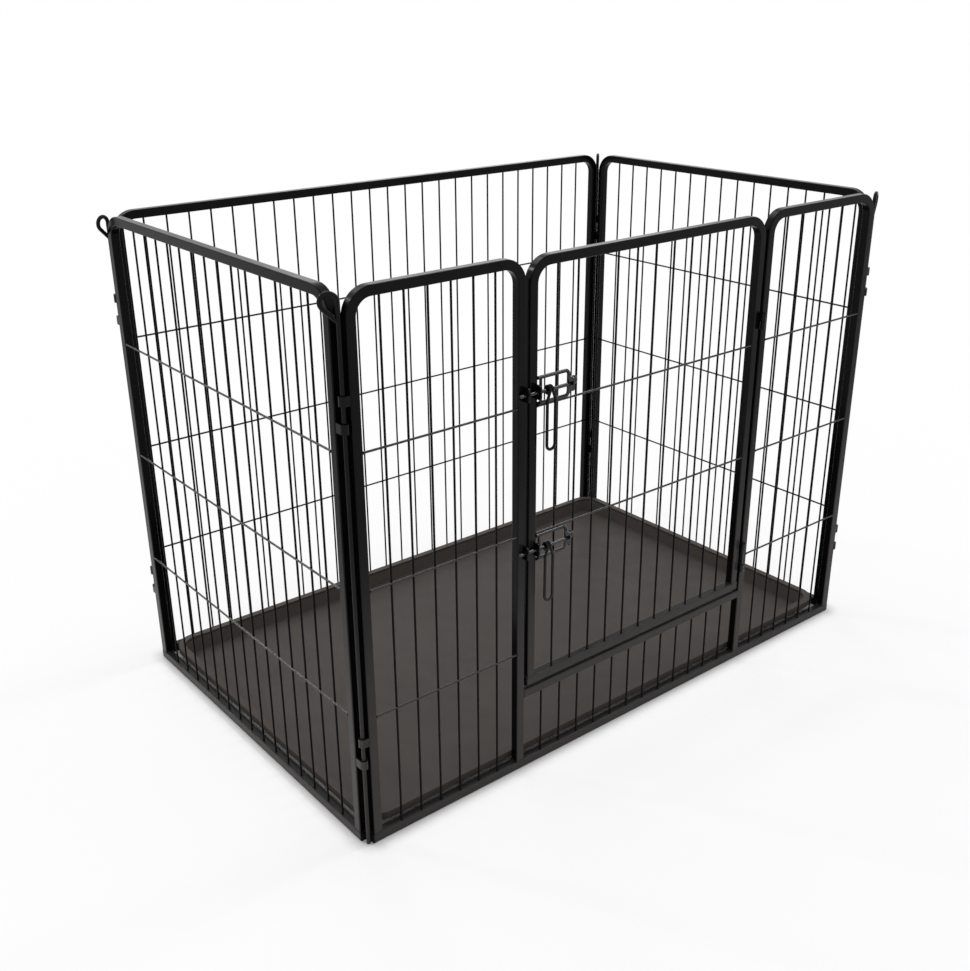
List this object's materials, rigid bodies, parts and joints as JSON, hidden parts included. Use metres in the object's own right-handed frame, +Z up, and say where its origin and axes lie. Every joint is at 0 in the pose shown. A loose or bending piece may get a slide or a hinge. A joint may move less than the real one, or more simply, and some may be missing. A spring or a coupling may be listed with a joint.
{
  "type": "four-panel puppy pen",
  "caption": "Rectangular open-top puppy pen of coated tube and wire panels joined by corner pins, with a hinged door, slide bolts and a lift-out plastic floor tray.",
  "frame": {"origin": "middle of the footprint at ground level", "axes": "+X along the door side from left to right as seen from outside, +Y towards the back, +Z up"},
  "size_m": [1.2724, 0.8078, 0.914],
  "materials": {
    "coated_tube": "semi-gloss black powder coat",
    "coated_wire": "semi-gloss black powder coat",
    "coated_hardware": "semi-gloss black powder coat",
    "plug_plastic": "matt black",
    "tray_plastic": "satin dark brown-grey"
  },
  "bodies": {
    "pen": {"left_frame": "coated_tube", "left_bottom_rail": "coated_tube", "left_rail_plugs": "plug_plastic", "left_uprights": "coated_wire", "left_cross_wires": "coated_wire", "left_loops": "coated_hardware", "right_frame": "coated_tube", "right_bottom_rail": "coated_tube", "right_rail_plugs": "plug_plastic", "right_uprights": "coated_wire", "right_cross_wires": "coated_wire", "right_loops": "coated_hardware", "back_frame": "coated_tube", "back_bottom_rail": "coated_tube", "back_rail_plugs": "plug_plastic", "back_uprights": "coated_wire", "back_cross_wires": "coated_wire", "back_loops": "coated_hardware", "front_left_frame": "coated_tube", "front_right_frame": "coated_tube", "front_bottom_rail": "coated_tube", "front_rail_plugs": "plug_plastic", "front_left_uprights": "coated_wire", "front_right_uprights": "coated_wire", "front_left_cross_wires": "coated_wire", "front_right_cross_wires": "coated_wire", "front_loops": "coated_hardware", "sill_rail": "coated_tube", "sill_uprights": "coated_wire", "post_hinges": "coated_hardware", "hinge_pins": "coated_hardware", "bolt_keepers": "coated_hardware"},
    "door": {"door_frame": "coated_tube", "door_bottom_rail": "coated_tube", "door_rail_plugs": "plug_plastic", "door_uprights": "coated_wire", "door_cross_wires": "coated_wire", "door_hinges": "coated_hardware", "upper_latch_frame": "coated_hardware", "lower_latch_frame": "coated_hardware", "bolt_guides": "coated_hardware"},
    "upper_bolt_body": {"upper_bolt": "coated_hardware"},
    "lower_bolt_body": {"lower_bolt": "coated_hardware"},
    "upper_handle_body": {"upper_handle": "coated_hardware"},
    "lower_handle_body": {"lower_handle": "coated_hardware"},
    "front_left_pin_body": {"front_left_pin": "coated_hardware"},
    "front_right_pin_body": {"front_right_pin": "coated_hardware"},
    "back_left_pin_body": {"back_left_pin": "coated_hardware"},
    "back_right_pin_body": {"back_right_pin": "coated_hardware"},
    "tray_body": {"floor_tray": "tray_plastic"}
  },
  "joints": [
    {"name": "door_swing", "type": "hinge", "parent": "pen", "child": "door", "pos_m": [0.28075, -0.39504, 0.5], "axis": [0, 0, 1], "range_deg": [0, 170]},
    {"name": "upper_bolt_slide", "type": "slide", "parent": "door", "child": "upper_bolt_body", "axis": [1, 0, 0], "range_m": [0, 0.026]},
    {"name": "upper_handle_swing", "type": "hinge", "parent": "upper_bolt_body", "child": "upper_handle_body", "pos_m": [-0.2425, -0.39554, 0.6993], "axis": [-1, 0, 0], "range_deg": [0, 160]},
    {"name": "lower_bolt_slide", "type": "slide", "parent": "door", "child": "lower_bolt_body", "axis": [1, 0, 0], "range_m": [0, 0.026]},
    {"name": "lower_handle_swing", "type": "hinge", "parent": "lower_bolt_body", "child": "lower_handle_body", "pos_m": [-0.2425, -0.39554, 0.4272], "axis": [-1, 0, 0], "range_deg": [0, 160]},
    {"name": "front_left_pin_lift", "type": "slide", "parent": "pen", "child": "front_left_pin_body", "axis": [0, 0, 1], "range_m": [0, 0.78]},
    {"name": "front_right_pin_lift", "type": "slide", "parent": "pen", "child": "front_right_pin_body", "axis": [0, 0, 1], "range_m": [0, 0.78]},
    {"name": "back_left_pin_lift", "type": "slide", "parent": "pen", "child": "back_left_pin_body", "axis": [0, 0, 1], "range_m": [0, 0.78]},
    {"name": "back_right_pin_lift", "type": "slide", "parent": "pen", "child": "back_right_pin_body", "axis": [0, 0, 1], "range_m": [0, 0.78]},
    {"name": "tray_lift", "type": "slide", "parent": "pen", "child": "tray_body", "axis": [0, 0, 1], "range_m": [0, 0.95]}
  ]
}
